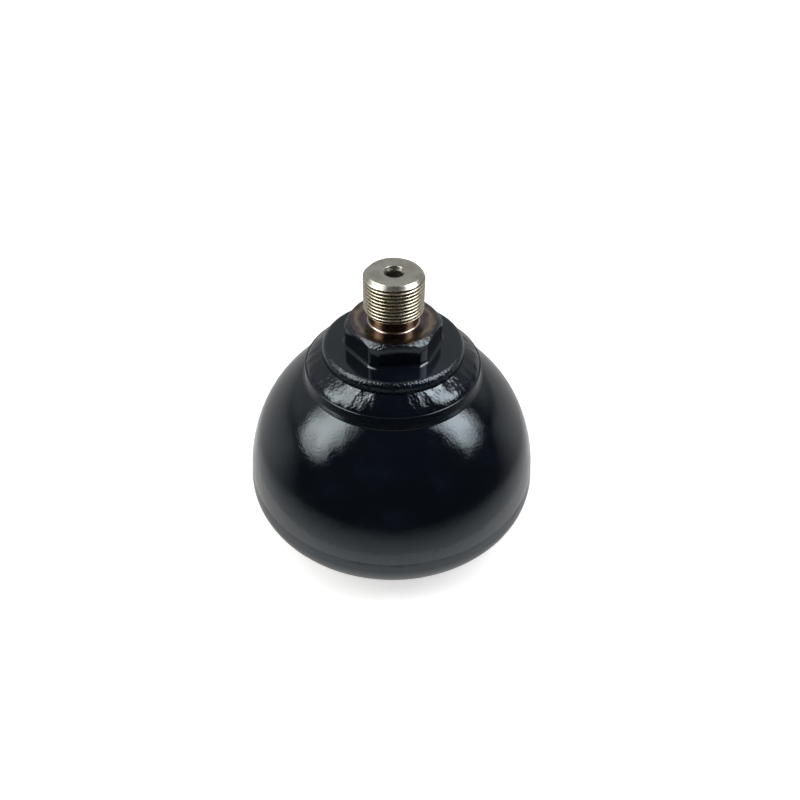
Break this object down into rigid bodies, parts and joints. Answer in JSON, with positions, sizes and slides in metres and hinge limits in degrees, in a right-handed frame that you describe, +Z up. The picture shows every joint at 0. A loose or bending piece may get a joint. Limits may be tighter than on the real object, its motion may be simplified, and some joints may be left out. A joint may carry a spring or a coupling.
{
  "type": "hydraulic accumulator",
  "caption": "Welded diaphragm accumulator: a pressure vessel with a rubber bowl inside that stores oil under gas pressure, with a threaded oil port on a flange and hexagon.",
  "frame": {"origin": "on the axis, at the level of the flat foot that it stands on", "axes": "+Z up along the axis of revolution, out of the oil port; two flats of the hexagon are square to Y"},
  "size_m": [0.1288, 0.1288, 0.1269],
  "materials": {
    "black_paint": "glossy black paint",
    "bare_steel": "turned bare steel",
    "zinc_plated_steel": "bright zinc plating",
    "copper": "plain copper",
    "nitrile_rubber": "moulded rubber"
  },
  "bodies": {
    "vessel": {"port_fitting": "bare_steel", "port_weld": "black_paint", "upper_shell": "black_paint", "seam_weld": "black_paint", "lower_shell": "black_paint", "diaphragm": "nitrile_rubber", "retaining_ring": "bare_steel", "gas_plug": "zinc_plated_steel", "gas_plug_seal": "copper"},
    "button": {"closing_button": "bare_steel"}
  },
  "joints": [
    {"name": "button_slide", "type": "slide", "parent": "vessel", "child": "button", "axis": [0, 0, -1], "range_m": [0, 0.044], "stiffness_N_per_m": 2000, "springref_m": -0.02, "deforming": ["diaphragm"]}
  ]
}
